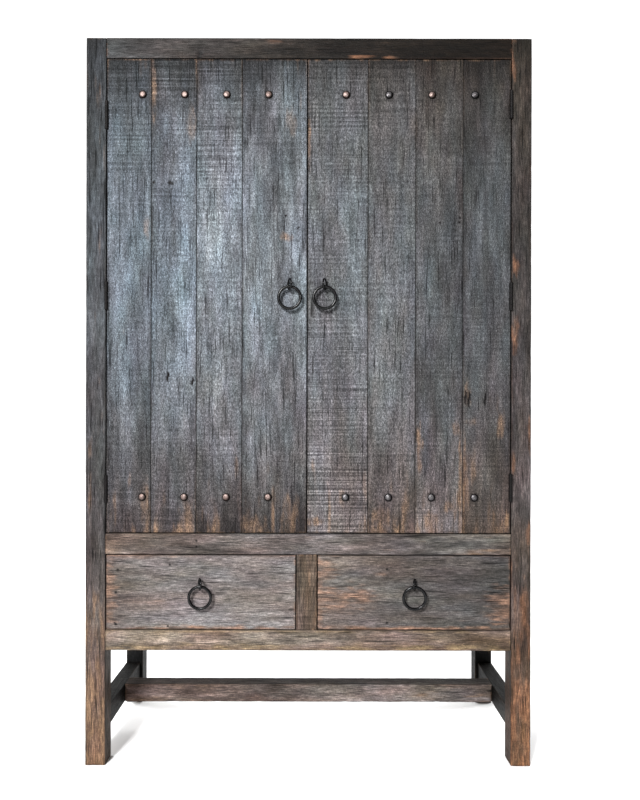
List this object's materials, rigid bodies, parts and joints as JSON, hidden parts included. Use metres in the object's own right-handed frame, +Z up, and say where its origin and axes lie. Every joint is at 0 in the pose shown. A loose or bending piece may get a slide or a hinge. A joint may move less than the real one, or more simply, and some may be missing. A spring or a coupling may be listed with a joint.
{
  "type": "armoire",
  "caption": "Rustic plank armoire: flush hinged doors with domed studs and ring pulls over inset drawers, on post legs tied by an H-shaped stretcher.",
  "frame": {"origin": "on the floor under the middle of the whole object, pulls included", "axes": "+Z up, -Y towards the user, who faces the doors, +X to that user's right"},
  "size_m": [1.2, 0.4922, 1.96],
  "materials": {
    "dark_boards": "black stained reclaimed boards, waxed, worn to brown at the edges",
    "frame_wood": "dark brown stained reclaimed timber, worn to tan at the edges",
    "inner_wood": "plain oiled softwood, unstained",
    "black_iron": "black forged iron, dull",
    "stud_iron": "hammered iron, rubbed brown",
    "bare_steel": "zinc plated steel"
  },
  "bodies": {
    "carcass": {"front_left_post": "frame_wood", "front_right_post": "frame_wood", "back_left_post": "frame_wood", "back_right_post": "frame_wood", "top_rail": "dark_boards", "mid_rail": "frame_wood", "lower_rail": "frame_wood", "drawer_mullion": "frame_wood", "back_rails": "frame_wood", "side_rails": "frame_wood", "left_side_boards": "dark_boards", "right_side_boards": "dark_boards", "back_boards": "dark_boards", "top_boards": "dark_boards", "cabinet_floor": "inner_wood", "floor_bearers": "inner_wood", "lower_shelf": "inner_wood", "upper_shelf": "inner_wood", "shelf_cleats": "inner_wood", "drawer_runners": "inner_wood", "bottom_boards": "inner_wood", "left_stretcher": "frame_wood", "right_stretcher": "frame_wood", "cross_stretcher": "frame_wood", "hinge_frame_leaves": "black_iron", "hinge_pins": "black_iron", "hinge_frame_screws": "bare_steel", "door_catches": "black_iron"},
    "left_door": {"left_door_plank_1": "dark_boards", "left_door_plank_2": "dark_boards", "left_door_plank_3": "dark_boards", "left_door_plank_4": "dark_boards", "left_door_battens": "inner_wood", "left_door_studs": "stud_iron", "left_door_hinge_leaves": "black_iron", "left_door_hinge_screws": "bare_steel", "left_door_strike_plate": "bare_steel", "left_door_eye": "black_iron"},
    "right_door": {"right_door_plank_1": "dark_boards", "right_door_plank_2": "dark_boards", "right_door_plank_3": "dark_boards", "right_door_plank_4": "dark_boards", "right_door_battens": "inner_wood", "right_door_studs": "stud_iron", "right_door_hinge_leaves": "black_iron", "right_door_hinge_screws": "bare_steel", "right_door_strike_plate": "bare_steel", "right_door_eye": "black_iron"},
    "left_drawer": {"left_drawer_front": "dark_boards", "left_drawer_box": "inner_wood", "left_drawer_bottom": "inner_wood", "left_drawer_eye": "black_iron"},
    "right_drawer": {"right_drawer_front": "dark_boards", "right_drawer_box": "inner_wood", "right_drawer_bottom": "inner_wood", "right_drawer_eye": "black_iron"},
    "left_door_ring": {"left_door_ring": "black_iron"},
    "left_drawer_ring": {"left_drawer_ring": "black_iron"},
    "right_door_ring": {"right_door_ring": "black_iron"},
    "right_drawer_ring": {"right_drawer_ring": "black_iron"}
  },
  "joints": [
    {"name": "left_door_hinge", "type": "hinge", "parent": "carcass", "child": "left_door", "pos_m": [-0.54475, -0.21592, 1.265], "axis": [0, 0, -1], "range_deg": [0, 170]},
    {"name": "right_door_hinge", "type": "hinge", "parent": "carcass", "child": "right_door", "pos_m": [0.54475, -0.21592, 1.265], "axis": [0, 0, 1], "range_deg": [0, 170]},
    {"name": "left_drawer_slide", "type": "slide", "parent": "carcass", "child": "left_drawer", "axis": [0, -1, 0], "range_m": [0, 0.3]},
    {"name": "right_drawer_slide", "type": "slide", "parent": "carcass", "child": "right_drawer", "axis": [0, -1, 0], "range_m": [0, 0.3]},
    {"name": "left_door_ring_swing", "type": "hinge", "parent": "left_door", "child": "left_door_ring", "pos_m": [-0.051, -0.23042, 1.2878], "axis": [-1, 0, 0], "range_deg": [-9, 120]},
    {"name": "left_drawer_ring_swing", "type": "hinge", "parent": "left_drawer", "child": "left_drawer_ring", "pos_m": [-0.28875, -0.23042, 0.4858], "axis": [-1, 0, 0], "range_deg": [-9, 120]},
    {"name": "right_door_ring_swing", "type": "hinge", "parent": "right_door", "child": "right_door_ring", "pos_m": [0.043, -0.23042, 1.2878], "axis": [-1, 0, 0], "range_deg": [-9, 120]},
    {"name": "right_drawer_ring_swing", "type": "hinge", "parent": "right_drawer", "child": "right_drawer_ring", "pos_m": [0.28475, -0.23042, 0.4858], "axis": [-1, 0, 0], "range_deg": [-9, 120]}
  ]
}
